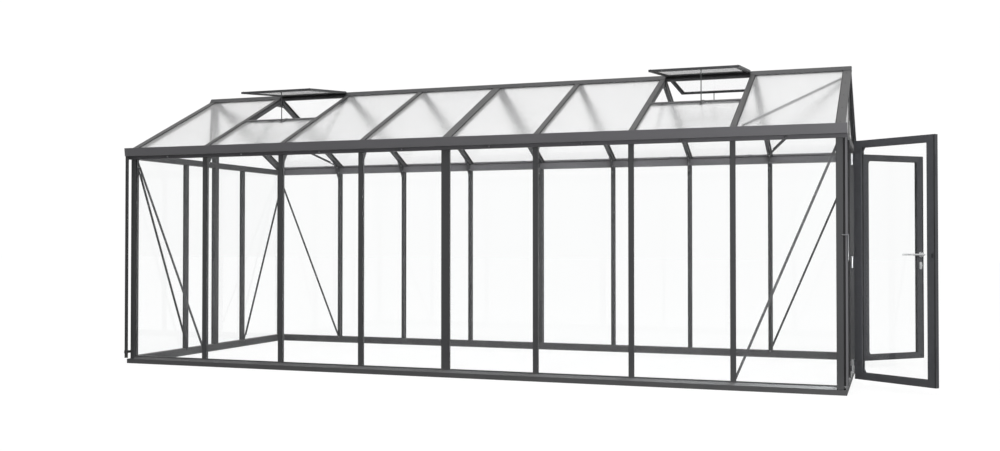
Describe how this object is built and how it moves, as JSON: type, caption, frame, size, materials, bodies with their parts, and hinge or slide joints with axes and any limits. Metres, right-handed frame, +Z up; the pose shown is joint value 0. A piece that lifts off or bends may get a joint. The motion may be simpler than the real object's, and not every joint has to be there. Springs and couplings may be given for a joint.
{
  "type": "greenhouse",
  "caption": "Free-standing glazed greenhouse with a pitched translucent roof, opened roof vents, eave gutters with downpipes, and a pair of glazed doors that swing outwards at one gable.",
  "frame": {"origin": "middle of the footprint, on the ground, which is also the middle of the four anchor holes", "axes": "+X along the length and out of the door gable, +Y towards the rear long wall, +Z up"},
  "size_m": [6.6106, 2.561, 2.4635],
  "materials": {
    "frame_coating": "satin powder coat",
    "door_coating": "satin powder coat",
    "bare_steel": "brushed",
    "wall_glass": "clear",
    "roof_sheet": "milky, translucent"
  },
  "bodies": {
    "frame": {"front_sill": "frame_coating", "rear_sill": "frame_coating", "left_sill": "frame_coating", "right_sill": "frame_coating", "front_corner_posts": "frame_coating", "rear_corner_posts": "frame_coating", "front_wall_bars": "frame_coating", "rear_wall_bars": "frame_coating", "middle_posts": "frame_coating", "gable_posts": "frame_coating", "king_posts": "frame_coating", "left_gable_tie": "frame_coating", "door_head": "frame_coating", "door_jambs": "frame_coating", "front_gutter": "frame_coating", "rear_gutter": "frame_coating", "ridge_beam": "frame_coating", "gable_rakes": "frame_coating", "front_rafters": "frame_coating", "rear_rafters": "frame_coating", "middle_rafters": "frame_coating", "vent_cross_bars": "frame_coating", "front_glass": "wall_glass", "rear_glass": "wall_glass", "left_gable_glass": "wall_glass", "right_gable_glass": "wall_glass", "front_roof_sheets": "roof_sheet", "rear_roof_sheets": "roof_sheet", "front_vent_frames": "frame_coating", "rear_vent_frame": "frame_coating", "vent_sheets": "roof_sheet", "vent_stays": "frame_coating", "wall_braces": "frame_coating", "roof_braces": "frame_coating", "eave_gussets": "frame_coating", "apex_plates": "frame_coating", "downpipes": "frame_coating", "downpipe_clips": "frame_coating", "door_holders": "bare_steel", "hinge_pins": "bare_steel"},
    "front_leaf": {"front_leaf_frame": "door_coating", "front_leaf_glass": "wall_glass", "front_leaf_hinges": "bare_steel"},
    "rear_leaf": {"rear_leaf_frame": "door_coating", "rear_leaf_glass": "wall_glass", "rear_leaf_hinges": "bare_steel", "rear_leaf_lock": "bare_steel"},
    "lever": {"door_lever": "bare_steel"}
  },
  "joints": [
    {"name": "front_door_hinge", "type": "hinge", "parent": "frame", "child": "front_leaf", "pos_m": [3.017, -0.6725, 0.93], "axis": [0, 0, -1], "range_deg": [-125, 40]},
    {"name": "rear_door_hinge", "type": "hinge", "parent": "frame", "child": "rear_leaf", "pos_m": [3.017, 0.6725, 0.93], "axis": [0, 0, 1], "range_deg": [-133, 32]},
    {"name": "lever_turn", "type": "hinge", "parent": "rear_leaf", "child": "lever", "pos_m": [3.50738, 1.07919, 0.948], "axis": [0.682, -0.7314, 0], "range_deg": [0, 35], "stiffness_Nm_per_rad": 1.2, "springref_deg": -34.38}
  ]
}
